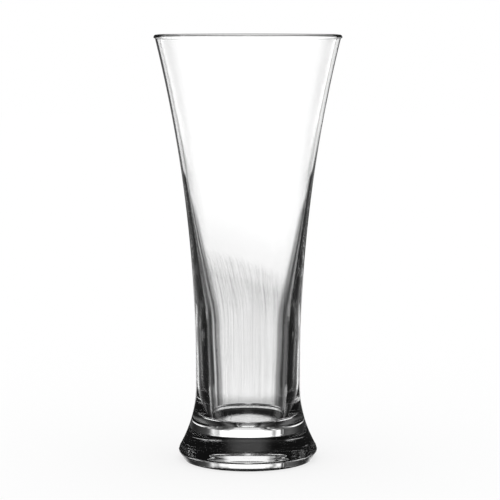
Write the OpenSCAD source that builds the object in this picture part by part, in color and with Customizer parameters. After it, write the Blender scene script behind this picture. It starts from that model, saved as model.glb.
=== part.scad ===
// Tall footed drinking glass: a beaded rim, a thin flared bowl, a thick straight waist and a solid foot.
// It stands on z = 0 with its axis on Z, and every piece is a section turned about that axis.

/* [Overall] */
// Height from the table to the top of the rim
glass_h = 180; // [150:1:220]

/* [Rim] */
// Diameter across the outside of the rim bead
rim_d = 79; // [70:0.2:90]
// How far the bead stands out past the outside of the wall
bead_lip_out = 0.6; // [0.2:0.1:1.2]
// How far the bead stands in past the inside of the wall
bead_lip_in = 0.1; // [0.1:0.1:1]

/* [Bowl] */
// Wall thickness of the upper bowl, below the bead
bowl_wall = 1.5; // [0.8:0.1:2.5]
// Diameter of the straight waist above the foot
waist_d = 44.4; // [38:0.2:50]
// Length of the straight waist
waist_len = 7.5; // [2:0.5:20]
// Height of the shoulder, where the bowl's inside starts to open out
shoulder_z = 61.5; // [50:0.5:80]
// Wall thickness at the shoulder, before it is rounded
shoulder_wall = 4.8; // [3.5:0.1:7]
// Radius of the rounding at the shoulder
shoulder_round_r = 110; // [30:10:220]
// Wall thickness of the waist at the bottom of the bore
waist_wall = 5.7; // [3:0.1:8]
// Height of the bowl's floor above the table
floor_z = 18; // [12:0.5:26]
// Radius of the corner between the floor and the bore
floor_corner_r = 0.8; // [0.4:0.2:4]

/* [Foot] */
// Diameter of the foot at its widest
foot_d = 59.2; // [52:0.1:70]
// Radius of the hollow curve between the waist and the foot's band
foot_curve_r = 53; // [36:1:90]
// Height of the leaning band between that curve and the foot's widest point
foot_band_h = 1.7; // [1.2:0.1:3]
// Lean of that band from upright, in degrees
foot_band_lean = 19.5; // [10:0.5:26]
// Height of the foot's widest point above the table
foot_edge_z = 3.9; // [3.4:0.1:5]
// Radius of the foot's rounded edge
foot_edge_r = 1.5; // [0.8:0.1:2.2]
// Slope of the undercut below the edge, in degrees from the table
undercut_slope = 57.5; // [45:0.5:75]
// Rise of the hollow underside from the ring to its flat top
push_up = 2; // [0.2:0.1:3]
// Diameter of the flat top of the hollow underside
hollow_flat_d = 13; // [4:0.5:30]

/* [Bearing ring] */
// Height of the ring that touches the table
ring_h = 1; // [0.4:0.1:1.4]
// Width of the flat that touches the table
ring_w = 4; // [2:0.5:8]

/* [Hidden] */
$fn = 200;
clear_glass = [0.90, 0.94, 0.95, 0.45];
stippled_glass = [0.82, 0.87, 0.88, 0.7];
// Straight steps that a curved stretch of an outline is drawn with
curve_steps = 24;
corner_steps = 10;

// Rim bead: a round section that covers the wall's top edge and is cut flat where it sits on it
bead_r = (bowl_wall + bead_lip_out + bead_lip_in) / 2;
bead_at = [rim_d / 2 - bead_r, glass_h - bead_r];
wall_top_r = rim_d / 2 - bead_lip_out;
seat_half = bead_r - min(bead_lip_out, bead_lip_in);
seat_z = bead_at.y - sqrt(bead_r ^ 2 - seat_half ^ 2);

// Foot edge: a rounding between the leaning band above it and the straight undercut below it
waist_r = waist_d / 2;
edge_at = [foot_d / 2 - foot_edge_r, foot_edge_z];
edge_top = edge_at + foot_edge_r * [cos(foot_band_lean), sin(foot_band_lean)];
band_top_z = foot_edge_z + foot_band_h;
band_top_r = edge_top.x - (band_top_z - edge_top.y) * tan(foot_band_lean);
undercut_a = undercut_slope - 90;
undercut_top = edge_at + foot_edge_r * [cos(undercut_a), sin(undercut_a)];

// Side of the foot: a hollow curve that leaves the waist upright and ends at the band
foot_curve_x = waist_r + foot_curve_r;
foot_top_z = band_top_z + sqrt(foot_curve_r ^ 2 - (foot_curve_x - band_top_r) ^ 2);

// Bearing ring: its outside carries the undercut on down to the table
bearing_r = undercut_r(0);
ring_in_r = bearing_r - ring_w;
ring_seat_in_r = ring_in_r - ring_h;
ring_seat_r = undercut_r(ring_h);

// Flared bowl: the outside is one arc that leaves the waist upright and ends under the bead
flare_z = foot_top_z + waist_len;
flare_out = wall_top_r - waist_r;
flare_r = ((seat_z - flare_z) ^ 2 + flare_out ^ 2) / (2 * flare_out);
flare_at = [waist_r + flare_r, flare_z];

// Bore: a slight taper from the floor's corner up to the shoulder
bore_z = floor_z + floor_corner_r;
bore_at = [waist_r - waist_wall, bore_z];
shoulder_at = [outer_r(shoulder_z) - shoulder_wall, shoulder_z];
bore_up = (shoulder_at - bore_at) / norm(shoulder_at - bore_at);

// Inside of the flared bowl: an arc about the flare's centre, so the upper wall has one thickness
inside_high = [wall_top_r - bowl_wall, seat_z];
inside_r = norm(inside_high - flare_at);

// Below that arc the wall thickens along a straight line that touches it and ends at the shoulder
to_flare = flare_at - shoulder_at;
thin_len = sqrt(to_flare * to_flare - inside_r ^ 2);
thin_a = atan2(to_flare.y, to_flare.x) + atan2(inside_r, thin_len);
thin_up = [cos(thin_a), sin(thin_a)];
thin_at = shoulder_at + thin_len * thin_up;

// Shoulder: an arc that touches the bore's taper and that line, and is shared by the two pieces
round_len = shoulder_round_r * tan(acos(bore_up * thin_up) / 2);
round_low = shoulder_at - round_len * bore_up;
round_high = shoulder_at + round_len * thin_up;
round_at = round_low + shoulder_round_r * [bore_up.y, -bore_up.x];
round_mid = [round_at.x - sqrt(shoulder_round_r ^ 2 - (shoulder_z - round_at.y) ^ 2), shoulder_z];

// Outside radius of the glass at a height between the foot's band and the bead
function outer_r(z) =
    z < foot_top_z ? foot_curve_x - sqrt(foot_curve_r ^ 2 - (foot_top_z - z) ^ 2)
    : z < flare_z ? waist_r
    : waist_r + flare_r - sqrt(flare_r ^ 2 - (z - flare_z) ^ 2);

// Radius of the undercut at a height below the foot's rounding
function undercut_r(z) = undercut_top.x - (undercut_top.y - z) / tan(undercut_slope);

// Points up the outside of the glass from one height to another
function outside(low, high) = [
    for (i = [0:curve_steps])
        let (z = low + (high - low) * i / curve_steps)
        [outer_r(z), z]
];

// Points along an arc about a centre, from one angle to another
function arc(centre, radius, from, to, steps) = [
    for (i = [0:steps])
        let (a = from + (to - from) * i / steps)
        centre + radius * [cos(a), sin(a)]
];

// Points along the inside of the bowl from a down to b, about a centre to their right
function inside_arc(centre, a, b, steps) =
    let (
        from = atan2(a.y - centre.y, centre.x - a.x),
        to = atan2(b.y - centre.y, centre.x - b.x)
    )
    arc(centre, norm(a - centre), 180 - from, 180 - to, steps);

// Fire-polished bead that rounds the drinking edge
module rim_bead() {
    seat_a = asin((bead_at.y - seat_z) / bead_r);
    color(clear_glass)
        rotate_extrude()
            polygon(arc(bead_at, bead_r, -seat_a, 180 + seat_a, curve_steps));
}

// Thin wall from the shoulder up to the bead
module flared_bowl() {
    long_arc = inside_arc(flare_at, inside_high, thin_at, curve_steps);
    shoulder = inside_arc(round_at, round_high, round_mid, corner_steps);
    color(clear_glass)
        rotate_extrude()
            polygon(concat(outside(shoulder_z, seat_z), long_arc, shoulder));
}

// Thick wall round the bore, from the floor's corner up to the shoulder
module lower_bowl() {
    shoulder = inside_arc(round_at, round_mid, round_low, corner_steps);
    color(clear_glass)
        rotate_extrude()
            polygon(concat(outside(bore_z, shoulder_z), shoulder, [bore_at]));
}

// Solid foot: the bowl's floor on top, the spreading side and a hollow underside with a flat top
module foot() {
    hollow_top_z = ring_h + push_up;
    hollow_w = ring_seat_in_r - hollow_flat_d / 2;
    hollow_r = (hollow_w ^ 2 + push_up ^ 2) / (2 * push_up);
    hollow_at = [hollow_flat_d / 2, hollow_top_z - hollow_r];
    hollow_a = acos(hollow_w / hollow_r);
    hollow = arc(hollow_at, hollow_r, 90, hollow_a, corner_steps);
    underside = concat([[0, hollow_top_z]], hollow);
    edge = arc(edge_at, foot_edge_r, undercut_a, foot_band_lean, corner_steps);
    side = concat([[ring_seat_r, ring_h]], edge, outside(band_top_z, bore_z));
    corner_at = bore_at - [floor_corner_r, 0];
    corner = arc(corner_at, floor_corner_r, 0, -90, corner_steps);
    color(clear_glass)
        rotate_extrude()
            polygon(concat(underside, side, corner, [[0, floor_z]]));
}

// Stippled ring under the foot that touches the table
module bearing_ring() {
    color(stippled_glass)
        rotate_extrude()
            polygon([
                [ring_seat_in_r, ring_h],
                [ring_in_r, 0],
                [bearing_r, 0],
                [ring_seat_r, ring_h]
            ]);
}

rim_bead();
flared_bowl();
lower_bowl();
foot();
bearing_ring();
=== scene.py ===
import math

import bmesh
import bpy
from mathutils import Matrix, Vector


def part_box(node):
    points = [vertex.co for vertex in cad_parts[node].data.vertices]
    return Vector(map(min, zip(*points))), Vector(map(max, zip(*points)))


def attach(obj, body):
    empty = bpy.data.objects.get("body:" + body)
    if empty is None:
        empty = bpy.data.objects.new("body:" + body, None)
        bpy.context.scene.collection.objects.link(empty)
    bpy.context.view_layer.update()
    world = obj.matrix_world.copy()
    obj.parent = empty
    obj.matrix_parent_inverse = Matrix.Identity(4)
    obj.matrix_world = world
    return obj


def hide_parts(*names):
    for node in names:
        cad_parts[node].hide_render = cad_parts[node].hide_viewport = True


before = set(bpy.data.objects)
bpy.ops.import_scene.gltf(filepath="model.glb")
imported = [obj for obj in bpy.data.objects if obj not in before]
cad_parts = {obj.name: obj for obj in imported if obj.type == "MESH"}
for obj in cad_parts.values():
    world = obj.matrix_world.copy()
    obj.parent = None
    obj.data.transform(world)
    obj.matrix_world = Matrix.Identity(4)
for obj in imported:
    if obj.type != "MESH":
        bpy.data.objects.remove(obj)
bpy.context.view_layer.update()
print("frame loaded, nodes:", sorted(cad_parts))

mm = 0.001

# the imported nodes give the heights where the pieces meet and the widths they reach
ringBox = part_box("bearing_ring")
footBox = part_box("foot")
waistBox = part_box("lower_bowl")
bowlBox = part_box("flared_bowl")
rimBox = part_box("rim_bead")

levels = {
    "ringTop": ringBox[1].z,
    "boreLow": waistBox[0].z,
    "shoulder": waistBox[1].z,
    "seat": rimBox[0].z,
    "top": rimBox[1].z,
}

# everything about the outside that two or more pieces share
outside = {
    "waistRadius": 22.2 * mm,
    "waistLength": 7.5 * mm,
    "footCurve": 53 * mm,
    "bandHeight": 1.7 * mm,  # leaning band between the foot's curve and its edge
    "bandLean": math.radians(19.5),
    "edgeHeight": 3.9 * mm,  # where the foot is widest
    "edgeRound": 1.5 * mm,
    "undercutSlope": math.radians(57.5),
}

meshing = {
    "turnSteps": 256,  # flats round the axis
    "weld": 0.001 * mm,
    "sharpFrom": math.radians(30),
}

footRadius = footBox[1].x
wallTop = bowlBox[1].x
edgeAt = (footRadius - outside["edgeRound"], outside["edgeHeight"])
edgeTopX = edgeAt[0] + outside["edgeRound"] * math.cos(outside["bandLean"])
edgeTopZ = edgeAt[1] + outside["edgeRound"] * math.sin(outside["bandLean"])
bandTop = outside["edgeHeight"] + outside["bandHeight"]
bandTopX = edgeTopX - (bandTop - edgeTopZ) * math.tan(outside["bandLean"])
footCurveX = outside["waistRadius"] + outside["footCurve"]
footTop = bandTop + math.sqrt(outside["footCurve"] ** 2 - (footCurveX - bandTopX) ** 2)
footCurveAt = (footCurveX, footTop)
flareLow = footTop + outside["waistLength"]
flareOut = wallTop - outside["waistRadius"]
flareRound = ((levels["seat"] - flareLow) ** 2 + flareOut**2) / (2 * flareOut)
flareAt = (outside["waistRadius"] + flareRound, flareLow)


def outerRadius(z):
    if z < footTop:
        return footCurveX - math.sqrt(outside["footCurve"] ** 2 - (footTop - z) ** 2)
    if z < flareLow:
        return outside["waistRadius"]
    return flareAt[0] - math.sqrt(flareRound**2 - (z - flareLow) ** 2)


undercutTopX = edgeAt[0] + outside["edgeRound"] * math.sin(outside["undercutSlope"])
undercutTopZ = edgeAt[1] - outside["edgeRound"] * math.cos(outside["undercutSlope"])


def undercutRadius(z):
    return undercutTopX - (undercutTopZ - z) / math.tan(outside["undercutSlope"])


# half a section, drawn point by point in the XZ plane and then turned about Z
class Section:
    def __init__(self, x, z):
        self.bm = bmesh.new()
        self.tip = self.first = self.bm.verts.new((x, 0, z))

    def lineTo(self, x, z, steps=1):
        here = self.tip.co.copy()
        there = here.copy()
        there.x, there.z = x, z
        for step in range(steps):
            self.tip = bmesh.ops.extrude_vert_indiv(self.bm, verts=[self.tip])["verts"][0]
            self.tip.co = here.lerp(there, (step + 1) / steps)

    def arcTo(self, centre, x, z, steps):
        cx, cz = centre
        begin = math.atan2(self.tip.co.z - cz, self.tip.co.x - cx)
        sweep = math.atan2(z - cz, x - cx) - begin
        sweep = (sweep + math.pi) % (2 * math.pi) - math.pi  # always the short way round
        arc = bmesh.ops.spin(
            self.bm, geom=[self.tip], cent=(cx, 0, cz), axis=(0, -1, 0), angle=sweep, steps=steps
        )
        self.tip = [part for part in arc["geom_last"] if isinstance(part, bmesh.types.BMVert)][0]

    def close(self):
        self.bm.edges.new((self.tip, self.first))

    def turn(self, name, finishes):
        bm = self.bm
        bmesh.ops.spin(
            bm,
            geom=bm.verts[:] + bm.edges[:],
            cent=(0, 0, 0),
            axis=(0, 0, 1),
            angle=2 * math.pi,
            steps=meshing["turnSteps"],
            use_merge=True,
        )
        bmesh.ops.remove_doubles(bm, verts=bm.verts[:], dist=meshing["weld"])
        bmesh.ops.recalc_face_normals(bm, faces=bm.faces[:])
        for face in bm.faces:
            face.smooth = True
        mesh = bpy.data.meshes.new(name)
        bm.to_mesh(mesh)
        bm.free()
        mesh.set_sharp_from_angle(angle=meshing["sharpFrom"])
        piece = bpy.data.objects.new(name, mesh)
        bpy.context.scene.collection.objects.link(piece)
        for finish in finishes:
            mesh.materials.append(finish)
        print(name, len(mesh.polygons), "faces")
        return piece


# how a face's normal tells which way it looks
facing = {"level": 0.999, "down": -0.9, "upright": 0.7, "near": 0.01 * mm}


# gives a finish to the faces that pass a test
def paint(piece, finish, test):
    for face in piece.data.polygons:
        if test(face):
            face.material_index = piece.data.materials.find(finish.name)


# the flat ring at a height where a piece touches its neighbour
def touching(z, outer):
    def test(face):
        level = abs(face.normal.z) > facing["level"] and abs(face.center.z - z) < facing["near"]
        return level and math.hypot(face.center.x, face.center.y) < outer

    return test


# the underside, as far out as a radius
def underside(outer):
    def test(face):
        return face.normal.z < facing["down"] and math.hypot(face.center.x, face.center.y) < outer

    return test


# the wall that looks towards the axis
def facesIn(face):
    inward = face.normal.x * face.center.x + face.normal.y * face.center.y < 0
    return inward and abs(face.normal.z) < facing["upright"]


# one wire of a node tree: sums on wires add Math nodes, and node() adds any other kind
class Wire:
    def __init__(self, tree, socket=None):
        self.tree = tree
        self.socket = socket

    def node(self, kind, settings=None, inputs=None, output=0):
        made = self.tree.nodes.new(kind)
        for name, value in (settings or {}).items():
            if name == "stops":
                self.setStops(made.color_ramp, value)
            else:
                setattr(made, name, value)
        for name, value in (inputs or {}).items():
            if isinstance(value, Wire):
                self.tree.links.new(value.socket, made.inputs[name])
            else:
                made.inputs[name].default_value = value
        return Wire(self.tree, made.outputs[output] if len(made.outputs) else None)

    def setStops(self, ramp, stops):
        while len(ramp.elements) < len(stops):
            ramp.elements.new(1)
        for element, (place, level) in zip(ramp.elements, stops):
            element.position = place
            element.color = (level, level, level, 1)

    def light(self, output):
        return self.node("ShaderNodeLightPath", output=output)

    def split(self):
        made = self.tree.nodes.new("ShaderNodeSeparateXYZ")
        self.tree.links.new(self.socket, made.inputs[0])
        return [Wire(self.tree, socket) for socket in made.outputs]

    def sums(self, operation, *values):
        return self.node("ShaderNodeMath", {"operation": operation}, dict(enumerate(values)))

    def __add__(self, other):
        return self.sums("ADD", self, other)

    def __radd__(self, other):
        return self.sums("ADD", other, self)

    def __sub__(self, other):
        return self.sums("SUBTRACT", self, other)

    def __rsub__(self, other):
        return self.sums("SUBTRACT", other, self)

    def __mul__(self, other):
        return self.sums("MULTIPLY", self, other)

    def __rmul__(self, other):
        return self.sums("MULTIPLY", other, self)

    def __truediv__(self, other):
        return self.sums("DIVIDE", self, other)

    # 0 below low, 1 above high, eased between
    def rise(self, low, high):
        return self.node(
            "ShaderNodeMapRange",
            {"interpolation_type": "SMOOTHSTEP"},
            {"Value": self, "From Min": low, "From Max": high},
        )

    # self where mask is 0, other where it is 1
    def swap(self, other, mask):
        return self + (other - self) * mask


# stops of a colour ramp that runs from low to high
def spread(stops, low, high):
    return [((place - low) / (high - low), level) for place, level in stops]


def newMaterial(name):
    material = bpy.data.materials.new(name)
    material.use_nodes = True
    material.node_tree.nodes.clear()
    return material, Wire(material.node_tree)


clear = {
    "colour": (1, 1, 1, 1),
    "ior": 1.52,
    "waves": 90,  # slow waves of a fire-polished wall, counted across a metre
    "waveHeight": 0.02 * mm,
}


def finishGlass(wire, colour, roughness, bump):
    glass = wire.node(
        "ShaderNodeBsdfPrincipled",
        None,
        {
            "Base Color": colour,
            "Roughness": roughness,
            "IOR": clear["ior"],
            "Transmission Weight": 1.0,
            "Normal": bump,
        },
    )
    wire.node("ShaderNodeOutputMaterial", None, {"Surface": glass})


def clearGlass():
    material, wire = newMaterial("clear_glass")
    where = wire.node("ShaderNodeTexCoord", output="Object")
    waves = wire.node(
        "ShaderNodeTexNoise", None, {"Vector": where, "Scale": clear["waves"], "Detail": 0.0}
    )
    bump = wire.node("ShaderNodeBump", None, {"Height": waves, "Distance": clear["waveHeight"]})
    finishGlass(wire, clear["colour"], 0.0, bump)
    return material


# inside of the bowl: a painted shade makes it greyer low down, and fine upright lines come from drawing
# the bore
drawn = {
    # height in mm and the base colour there, a painted shade that darkens the view through the bowl
    "paintedShade": [
        (20, 0.75),
        (34, 0.73),
        (41, 0.69),
        (62, 0.67),
        (70, 0.61),
        (77, 0.635),
        (82, 0.76),
        (92, 0.81),
        (104, 0.88),
        (120, 0.94),
    ],
    "slant": 0.34,  # the drawn zone ends higher on one side
    "lineTop": (76.5 * mm, 82.5 * mm),  # the lines fade out between these heights
    "lineStagger": 4 * mm,  # how much their upper ends differ
    "lines": 52,  # lines over one radian
    "lineLength": 140 * mm,
    "lineWidth": 0.06,  # how far from its middle value the noise still draws a line
    "noiseMiddle": 0.5,
    "endScale": 0.6,  # the ends vary over a few lines at a time
    "lineGrey": 0.55,
    "lineDepth": 0.001 * mm,
    "lineClear": (56 * mm, 72 * mm),  # the lines are faint below this
    "lineFaint": 0.5,
    "bendFrom": 62 * mm,
    "bend": 7,  # how fast the lines lean over above that height
}


def drawnGlassPaintedShade():
    material, wire = newMaterial("drawn_glass_painted_shade")
    x, y, z = wire.node("ShaderNodeTexCoord", output="Object").split()
    over = z + x * drawn["slant"]
    low, high = drawn["paintedShade"][0][0], drawn["paintedShade"][-1][0]
    up = (over - low * mm) / ((high - low) * mm)
    # painted shade: the base colour runs from grey low down to nearly clear near the top
    paintedShadeTone = wire.node("ShaderNodeValToRGB", {"stops": spread(drawn["paintedShade"], low, high)}, {0: up})
    bent = wire.sums("MAXIMUM", z - drawn["bendFrom"], 0.0)
    flat = wire.node("ShaderNodeCombineXYZ", None, {"X": x + bent * bent * drawn["bend"], "Y": y})
    ringwise = wire.node("ShaderNodeVectorMath", {"operation": "NORMALIZE"}, {0: flat})
    lifted = wire.node("ShaderNodeCombineXYZ", None, {"Z": z / drawn["lineLength"]})
    along = wire.node(
        "ShaderNodeVectorMath",
        {"operation": "MULTIPLY_ADD"},
        {0: ringwise, 1: (drawn["lines"],) * 3, 2: lifted},
    )
    noise = wire.node("ShaderNodeTexNoise", None, {"Vector": along, "Scale": 1.0, "Detail": 1.0})
    coarse = wire.node(
        "ShaderNodeTexNoise", None, {"Vector": along, "Scale": drawn["endScale"], "Detail": 1.0}
    )
    off = wire.sums("ABSOLUTE", noise - drawn["noiseMiddle"])
    line = 1 - off.rise(0.0, drawn["lineWidth"])
    ends = over + (coarse - drawn["noiseMiddle"]) * drawn["lineStagger"]
    line = line * (1 - ends.rise(*drawn["lineTop"]))
    line = line * (drawn["lineFaint"] + (1 - drawn["lineFaint"]) * z.rise(*drawn["lineClear"]))
    bump = wire.node("ShaderNodeBump", None, {"Height": line, "Distance": drawn["lineDepth"]})
    # the base colour is the painted shade, with the draw lines greyer still
    finishGlass(wire, paintedShadeTone * (1 - line * (1 - drawn["lineGrey"])), 0.0, bump)
    return material


stipple = {
    "roughness": 0.1,
    "dots": 1800,  # dots across a metre
    "dotHeight": 0.014 * mm,
}


def stippledGlass():
    material, wire = newMaterial("stippled_glass")
    where = wire.node("ShaderNodeTexCoord", output="Object")
    dots = wire.node("ShaderNodeTexVoronoi", None, {"Vector": where, "Scale": stipple["dots"]})
    bump = wire.node("ShaderNodeBump", None, {"Height": dots, "Distance": stipple["dotHeight"]})
    finishGlass(wire, clear["colour"], stipple["roughness"], bump)
    return material


# the faces where two pieces touch are solid glass in the real thing, so light runs straight on
def touchingGlass():
    material, wire = newMaterial("touching_glass")
    through = wire.node("ShaderNodeBsdfTransparent")
    wire.node("ShaderNodeOutputMaterial", None, {"Surface": through})
    return material


clearFinish = clearGlass()
drawnShadeFinish = drawnGlassPaintedShade()
stippleFinish = stippledGlass()
touchFinish = touchingGlass()
print("materials made")

# rim bead
rim = {
    "lipOut": rimBox[1].x - wallTop,
    "lipIn": 0.1 * mm,
    "wall": 1.5 * mm,  # the same all the way down the upper bowl
    "roundSteps": 24,
}


def makeRim():
    radius = (rim["wall"] + rim["lipOut"] + rim["lipIn"]) / 2
    centre = (rimBox[1].x - radius, levels["top"] - radius)
    half = math.sqrt(radius**2 - (centre[1] - levels["seat"]) ** 2)
    section = Section(wallTop, levels["seat"])
    section.lineTo(centre[0] + half, levels["seat"])
    section.arcTo(centre, centre[0], levels["top"], rim["roundSteps"])
    section.arcTo(centre, centre[0] - half, levels["seat"], rim["roundSteps"])
    section.close()
    piece = section.turn("rimBead", [clearFinish, touchFinish])
    paint(piece, touchFinish, touching(levels["seat"], wallTop))
    return piece


# inside of the bowl: a tapered bore, a rounded shoulder, a straight stretch and a long curve above it
inside = {
    "waistWall": 5.7 * mm,
    "shoulderWall": 4.8 * mm,
    "shoulderRound": 110 * mm,
}

boreLow = Vector((outside["waistRadius"] - inside["waistWall"], levels["boreLow"]))
shoulder = Vector((outerRadius(levels["shoulder"]) - inside["shoulderWall"], levels["shoulder"]))
insideTop = Vector((wallTop - rim["wall"], levels["seat"]))
longRound = (insideTop - Vector(flareAt)).length
toFlare = Vector(flareAt) - shoulder
thinLength = math.sqrt(toFlare.length_squared - longRound**2)
thinAngle = math.atan2(toFlare.y, toFlare.x) + math.atan2(longRound, thinLength)
thinUp = Vector((math.cos(thinAngle), math.sin(thinAngle)))
thinAt = shoulder + thinLength * thinUp
boreUp = (shoulder - boreLow).normalized()
roundLength = inside["shoulderRound"] * math.tan(math.acos(boreUp.dot(thinUp)) / 2)
roundLow = shoulder - roundLength * boreUp
roundHigh = shoulder + roundLength * thinUp
roundAt = roundLow + inside["shoulderRound"] * Vector((boreUp.y, -boreUp.x))
shoulderRadius = roundAt.x - math.sqrt(
    inside["shoulderRound"] ** 2 - (levels["shoulder"] - roundAt.y) ** 2
)

# thin flared bowl
bowl = {"wallSteps": 90, "curveSteps": 45, "straightSteps": 45, "shoulderSteps": 20}


def makeBowl():
    low, high = levels["shoulder"], levels["seat"]
    section = Section(shoulderRadius, low)
    section.lineTo(outerRadius(low), low)
    section.arcTo(flareAt, wallTop, high, bowl["wallSteps"])
    section.lineTo(insideTop.x, high)
    section.arcTo(flareAt, thinAt.x, thinAt.y, bowl["curveSteps"])
    section.lineTo(roundHigh.x, roundHigh.y, bowl["straightSteps"])
    section.arcTo(roundAt, shoulderRadius, low, bowl["shoulderSteps"])
    piece = section.turn("flaredBowl", [clearFinish, touchFinish, drawnShadeFinish])
    paint(piece, drawnShadeFinish, facesIn)
    paint(piece, touchFinish, touching(low, footRadius))
    paint(piece, touchFinish, touching(high, rimBox[1].x))
    return piece


# thick waist round the bore
waist = {"boreSteps": 24, "straightSteps": 6, "curveSteps": 24, "shoulderSteps": 20}


def makeWaist():
    low, high = levels["boreLow"], levels["shoulder"]
    section = Section(boreLow.x, low)
    section.lineTo(outerRadius(low), low)
    section.arcTo(footCurveAt, outside["waistRadius"], footTop, waist["curveSteps"])
    section.lineTo(outside["waistRadius"], flareLow, waist["straightSteps"])
    section.arcTo(flareAt, outerRadius(high), high, waist["curveSteps"])
    section.lineTo(shoulderRadius, high)
    section.arcTo(roundAt, roundLow.x, roundLow.y, waist["shoulderSteps"])
    section.lineTo(boreLow.x, low, waist["boreSteps"])
    piece = section.turn("lowerBowl", [clearFinish, touchFinish, drawnShadeFinish])
    paint(piece, drawnShadeFinish, facesIn)
    paint(piece, touchFinish, touching(low, footRadius))
    paint(piece, touchFinish, touching(high, footRadius))
    return piece


# bearing ring, whose inside slopes up to the foot at 45 degrees
ring = {"width": 4 * mm, "flatSteps": 3}

ringInner = undercutRadius(0) - ring["width"]
ringSeat = ringInner - levels["ringTop"]


def makeRing():
    section = Section(ringSeat, levels["ringTop"])
    section.lineTo(ringInner, 0)
    section.lineTo(undercutRadius(0), 0, ring["flatSteps"])
    section.lineTo(undercutRadius(levels["ringTop"]), levels["ringTop"])
    section.close()
    piece = section.turn("bearingRing", [stippleFinish, touchFinish])
    paint(piece, touchFinish, touching(levels["ringTop"], footRadius))
    return piece


# solid foot
foot = {
    "floor": 18 * mm,
    "floorCorner": 0.8 * mm,
    "pushUp": 2 * mm,
    "hollowFlat": 6.5 * mm,  # radius of the flat top of the hollow underside
    "stippled": 14 * mm,  # radius of the stippled middle of the underside
    "flatSteps": 8,
    "underSteps": 32,
    "undercutSteps": 4,
    "edgeSteps": 24,
    "bandSteps": 4,
    "curveSteps": 32,
    "cornerSteps": 12,
    "floorSteps": 12,
}


def makeFoot():
    ringTop = levels["ringTop"]
    hollowTop = ringTop + foot["pushUp"]
    hollowWidth = ringSeat - foot["hollowFlat"]
    hollowRound = (hollowWidth**2 + foot["pushUp"] ** 2) / (2 * foot["pushUp"])
    hollowAt = (foot["hollowFlat"], hollowTop - hollowRound)
    section = Section(0, hollowTop)
    section.lineTo(foot["hollowFlat"], hollowTop, foot["flatSteps"])
    section.arcTo(hollowAt, ringSeat, ringTop, foot["underSteps"])
    section.lineTo(undercutRadius(ringTop), ringTop)
    section.lineTo(undercutTopX, undercutTopZ, foot["undercutSteps"])
    section.arcTo(edgeAt, edgeTopX, edgeTopZ, foot["edgeSteps"])
    section.lineTo(bandTopX, bandTop, foot["bandSteps"])
    section.arcTo(footCurveAt, outerRadius(levels["boreLow"]), levels["boreLow"], foot["curveSteps"])
    section.lineTo(boreLow.x, levels["boreLow"])
    cornerAt = (boreLow.x - foot["floorCorner"], levels["boreLow"])
    section.arcTo(cornerAt, cornerAt[0], foot["floor"], foot["cornerSteps"])
    section.lineTo(0, foot["floor"], foot["floorSteps"])
    piece = section.turn("foot", [clearFinish, touchFinish, stippleFinish])
    paint(piece, stippleFinish, underside(foot["stippled"]))
    paint(piece, touchFinish, touching(ringTop, footRadius))
    paint(piece, touchFinish, touching(levels["boreLow"], footRadius))
    return piece


pieces = [
    (makeRim(), "rim_bead", "clear_glass"),
    (makeBowl(), "flared_bowl", "clear_glass"),
    (makeWaist(), "lower_bowl", "clear_glass"),
    (makeFoot(), "foot", "clear_glass"),
    (makeRing(), "bearing_ring", "stippled_glass"),
]
for piece, node, slotName in pieces:
    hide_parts(node)
    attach(piece, "root")
print("pieces made:", len(pieces))

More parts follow.
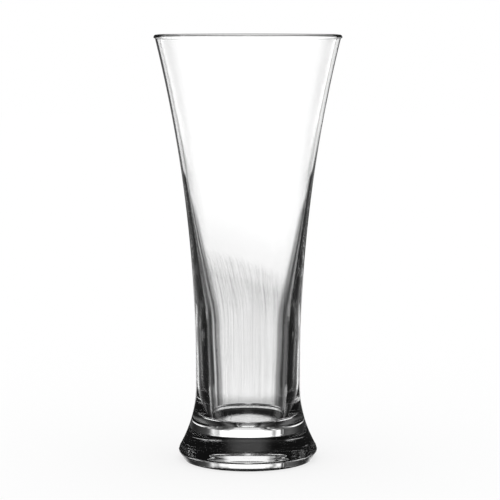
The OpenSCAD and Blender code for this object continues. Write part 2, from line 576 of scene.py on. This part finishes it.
# studio: a white panel stands at each quarter turn, with dark cards and narrow strips of light beside it
# angles are in degrees, to the side or up from level, and a pair is where a change starts and ends
studio = {
    "apart": 90.0,  # from one panel to the next
    "panelTop": (2.5, 5),
    "seenTop": (35, 60),  # through glass the light goes on above the panels
    # angle to the side of a panel's middle, and how bright it is there
    "bands": [
        (-45, 0.01),
        (-40, 0.03),
        (-35, 0.12),
        (-29, 0.14),
        (-25, 0.08),
        (-22.5, 0.02),
        (-20, 0.015),
        (-18.6, 0.05),
        (-17.6, 0.62),
        (-16.4, 0.7),
        (-15.7, 0.35),
        (-14.8, 0.04),
        (-13.4, 0.04),
        (-12.6, 0.4),
        (-10.6, 0.45),
        (-9.6, 0.85),
        (-8.5, 1.0),
        (9.0, 1.0),
        (10.5, 0.75),
        (12.0, 0.34),
        (15.0, 0.26),
        (17.0, 0.06),
        (20.5, 0.05),
        (23, 0.2),
        (26, 0.2),
        (30, 0.07),
        (38, 0.03),
        (45, 0.01),
    ],
    "upperFrom": (-10, -8),
    "upperBands": [
        (-45, 0.01),
        (-40, 0.02),
        (-30, 0.07),
        (-25, 0.06),
        (-23.4, 0.04),
        (-22.9, 0.45),
        (-22.4, 0.05),
        (-21.4, 0.1),
        (-20.6, 0.75),
        (-19, 0.95),
        (-17.8, 0.7),
        (-16.6, 0.3),
        (-15.6, 0.32),
        (-14.6, 0.65),
        (-13.2, 0.9),
        (-12, 1),
        (15.5, 1),
        (17, 0.8),
        (18.4, 0.38),
        (19.4, 0.5),
        (21, 0.55),
        (22.4, 0.7),
        (24, 0.4),
        (25, 0.2),
        (26.5, 0.08),
        (29, 0.04),
        (38, 0.02),
        (45, 0.01),
    ],
    "cornerTop": (-17, -13.5),  # lower panels stand between the four main ones
    "cornerTopSolid": (-14, -11),  # they reach higher as seen through solid glass
    "behind": (89, 91),  # and on the camera's side they are as high as the main ones
    "panel": 1.4,
    "near": 0.85,  # where the panel runs out onto the table
    "nearFrom": (-26, -17),
    "under": (-46, -34),  # nothing shines from under the glass
    "topGain": 1.3,  # the panels are brighter towards their upper corners
    "topGainSides": (7, 16),
    "topGainFrom": (-5.8, -4.6),
    # angle to the side of a panel's middle, and how much light bounced inside the glass comes from there
    "bounced": [
        (0, 0.75),
        (5, 0.5),
        (8, 0.3),
        (11, 0.24),
        (15, 0.1),
        (22, 0.05),
        (28, 0.02),
        (36, 0.008),
        (45, 0.005),
    ],
    "bouncedTop": (-4, -1.5),
    "tableFrom": (-31, -25),  # below this the table sends back what the main panels give
    "fringe": 1.2,  # the edges of the waist are lit more strongly
    "fringeTo": (6.5, 9),
    "fringeLow": (-19, -17),
    "fringeTop": (-11.5, -10),
    "edge": 1.1,  # light from beside the panels that reaches the edges of the thin wall
    "edgeFrom": (22, 24),
    "edgeTo": (38, 44),
    "edgeRight": 8,  # it comes further in on the right
    "edgeSlope": 0.2,  # and its lower end falls towards the sides
    "edgeLow": (-2.9, -2.2),
    "edgeTop": (-3, -1),
    "glow": 0.05,  # light from above the panel that reaches the middle of the foot
    "glowTo": (5, 16),
    "glowTop": (22, 40),
    "dark": 0.004,  # the cards
    "room": 0.03,  # what the glass mirrors beside the front panel
    "ahead": (5, 14),  # how far to each side that panel is mirrored
    "aheadLow": (16, 32),  # and how far lower down
    "aheadFrom": (-9.2, -8),
    "soft": 1.06,  # light on the floor
}


def studioWorld():
    world = bpy.data.worlds.new("studio")
    bpy.context.scene.world = world
    world.use_nodes = True
    world.node_tree.nodes.clear()
    wire = Wire(world.node_tree)
    x, y, z = wire.node("ShaderNodeTexCoord", output="Generated").split()
    turn = wire.sums("ARCTAN2", x, y) * math.degrees(1)
    height = wire.sums("ARCSINE", z) * math.degrees(1)
    aside = wire.sums("ABSOLUTE", turn)
    half = studio["apart"] / 2

    def above(name):
        return height.rise(*studio[name])

    def atLeast(count, output):
        return wire.sums("GREATER_THAN", wire.light(output), count - 0.5)

    def panels(middle):
        across = wire.sums("FLOORED_MODULO", turn + (half - middle), studio["apart"]) / studio["apart"]
        lower, upper = (
            wire.node("ShaderNodeValToRGB", {"stops": spread(studio[name], -half, half)}, {0: across})
            for name in ("bands", "upperBands")
        )
        return lower.swap(upper, above("upperFrom"))

    # light straight through the hollow bowl crosses four faces, and through solid glass only two
    throughBowl = atLeast(3, "Transmission Depth")
    main = panels(0)
    cornerEnd = above("cornerTopSolid").swap(above("cornerTop"), throughBowl)
    corner = panels(half) * (1 - cornerEnd * (1 - aside.rise(*studio["behind"])))
    gain = above("topGainFrom") * aside.rise(*studio["topGainSides"]) * studio["topGain"]
    bands = wire.sums("MAXIMUM", main, corner) * (1 + throughBowl * gain)
    level = studio["near"] + (studio["panel"] - studio["near"]) * above("nearFrom")
    seen = bands * level * above("under") * (1 - above("seenTop")) + studio["dark"]

    # light that has bounced about inside the glass comes back from two of the panels only
    nearest = wire.sums("MINIMUM", aside, wire.sums("ABSOLUTE", turn + studio["apart"]))
    stops = spread(studio["bounced"], 0, half)
    bounced = wire.node("ShaderNodeValToRGB", {"stops": stops}, {0: nearest / half})
    fringe = above("fringeLow") * (1 - above("fringeTop")) * (1 - nearest.rise(*studio["fringeTo"]))
    bounced = bounced * (1 + fringe * studio["fringe"]) * (1 - above("bouncedTop"))
    glow = (1 - nearest.rise(*studio["glowTo"])) * (1 - above("glowTop")) * studio["glow"]
    right = wire.sums("GREATER_THAN", turn, 0.0)
    edge = (nearest + right * studio["edgeRight"]).rise(*studio["edgeFrom"])
    edge = edge * (1 - nearest.rise(*studio["edgeTo"])) * (1 - above("edgeTop"))
    edge = edge * (height + nearest * studio["edgeSlope"]).rise(*studio["edgeLow"])
    bounced = bounced + glow + edge * studio["edge"] + studio["dark"]
    bounced = main.swap(bounced, above("tableFrom"))

    # light that the outside mirrors
    narrow, wide = (1 - aside.rise(*studio[name]) for name in ("ahead", "aheadLow"))
    mirrored = studio["room"] + wide.swap(narrow, above("aheadFrom")) * (1 - above("panelTop"))

    inGlass = seen.swap(bounced, atLeast(1, "Glossy Depth"))
    offGlass = studio["soft"] + wire.light("Is Glossy Ray") * (mirrored - studio["soft"])
    strength = offGlass.swap(inGlass, atLeast(1, "Transmission Depth"))
    strength = strength.swap(1.0, wire.light("Is Camera Ray"))
    background = wire.node("ShaderNodeBackground", None, {"Color": (1, 1, 1, 1), "Strength": strength})
    wire.node("ShaderNodeOutputWorld", None, {"Surface": background})
    world.cycles.sampling_method = "NONE"


floorLook = {"reach": 3.0, "segments": 96, "colour": (0.95, 0.95, 0.95, 1), "shadow": 0.3}


def makeFloor():
    bm = bmesh.new()
    bmesh.ops.create_circle(bm, cap_ends=True, radius=floorLook["reach"], segments=floorLook["segments"])
    mesh = bpy.data.meshes.new("floor")
    bm.to_mesh(mesh)
    bm.free()
    floor = bpy.data.objects.new("floor", mesh)
    bpy.context.scene.collection.objects.link(floor)
    material, wire = newMaterial("pale_floor")
    lit = wire.node("ShaderNodeBsdfDiffuse", None, {"Color": floorLook["colour"]})
    white = wire.node("ShaderNodeEmission", None, {"Strength": 1.0})
    whiter = wire.light("Is Camera Ray") * (1 - floorLook["shadow"])
    shown = wire.node("ShaderNodeMixShader", None, {0: whiter, 1: lit, 2: white})
    # the glass sees the studio, not the floor
    unseen = wire.sums("MAXIMUM", wire.light("Is Glossy Ray"), wire.light("Is Transmission Ray"))
    gone = wire.node("ShaderNodeBsdfTransparent")
    surface = wire.node("ShaderNodeMixShader", None, {0: unseen, 1: shown, 2: gone})
    wire.node("ShaderNodeOutputMaterial", None, {"Surface": surface})
    mesh.materials.append(material)


view = {
    "place": (0.87 * mm, -836.94 * mm, 187.1 * mm),
    "down": 6.666,  # degrees below level
    "lens": 143.37,
    "sensor": 36,
    "clip": (0.01, 50),
}


def makeCamera():
    data = bpy.data.cameras.new("camera")
    data.lens = view["lens"]
    data.sensor_width = view["sensor"]
    data.clip_start, data.clip_end = view["clip"]
    camera = bpy.data.objects.new("camera", data)
    camera.location = view["place"]
    camera.rotation_euler = (math.radians(90 - view["down"]), 0, 0)
    bpy.context.scene.collection.objects.link(camera)
    bpy.context.scene.camera = camera


studioWorld()
makeFloor()
makeCamera()
scene = bpy.context.scene
scene.view_settings.view_transform = "Standard"
scene.cycles.max_bounces = 40
scene.cycles.transmission_bounces = 40
scene.cycles.glossy_bounces = 24
scene.cycles.transparent_max_bounces = 64
scene.cycles.caustics_refractive = False
scene.cycles.caustics_reflective = False
print("studio made")
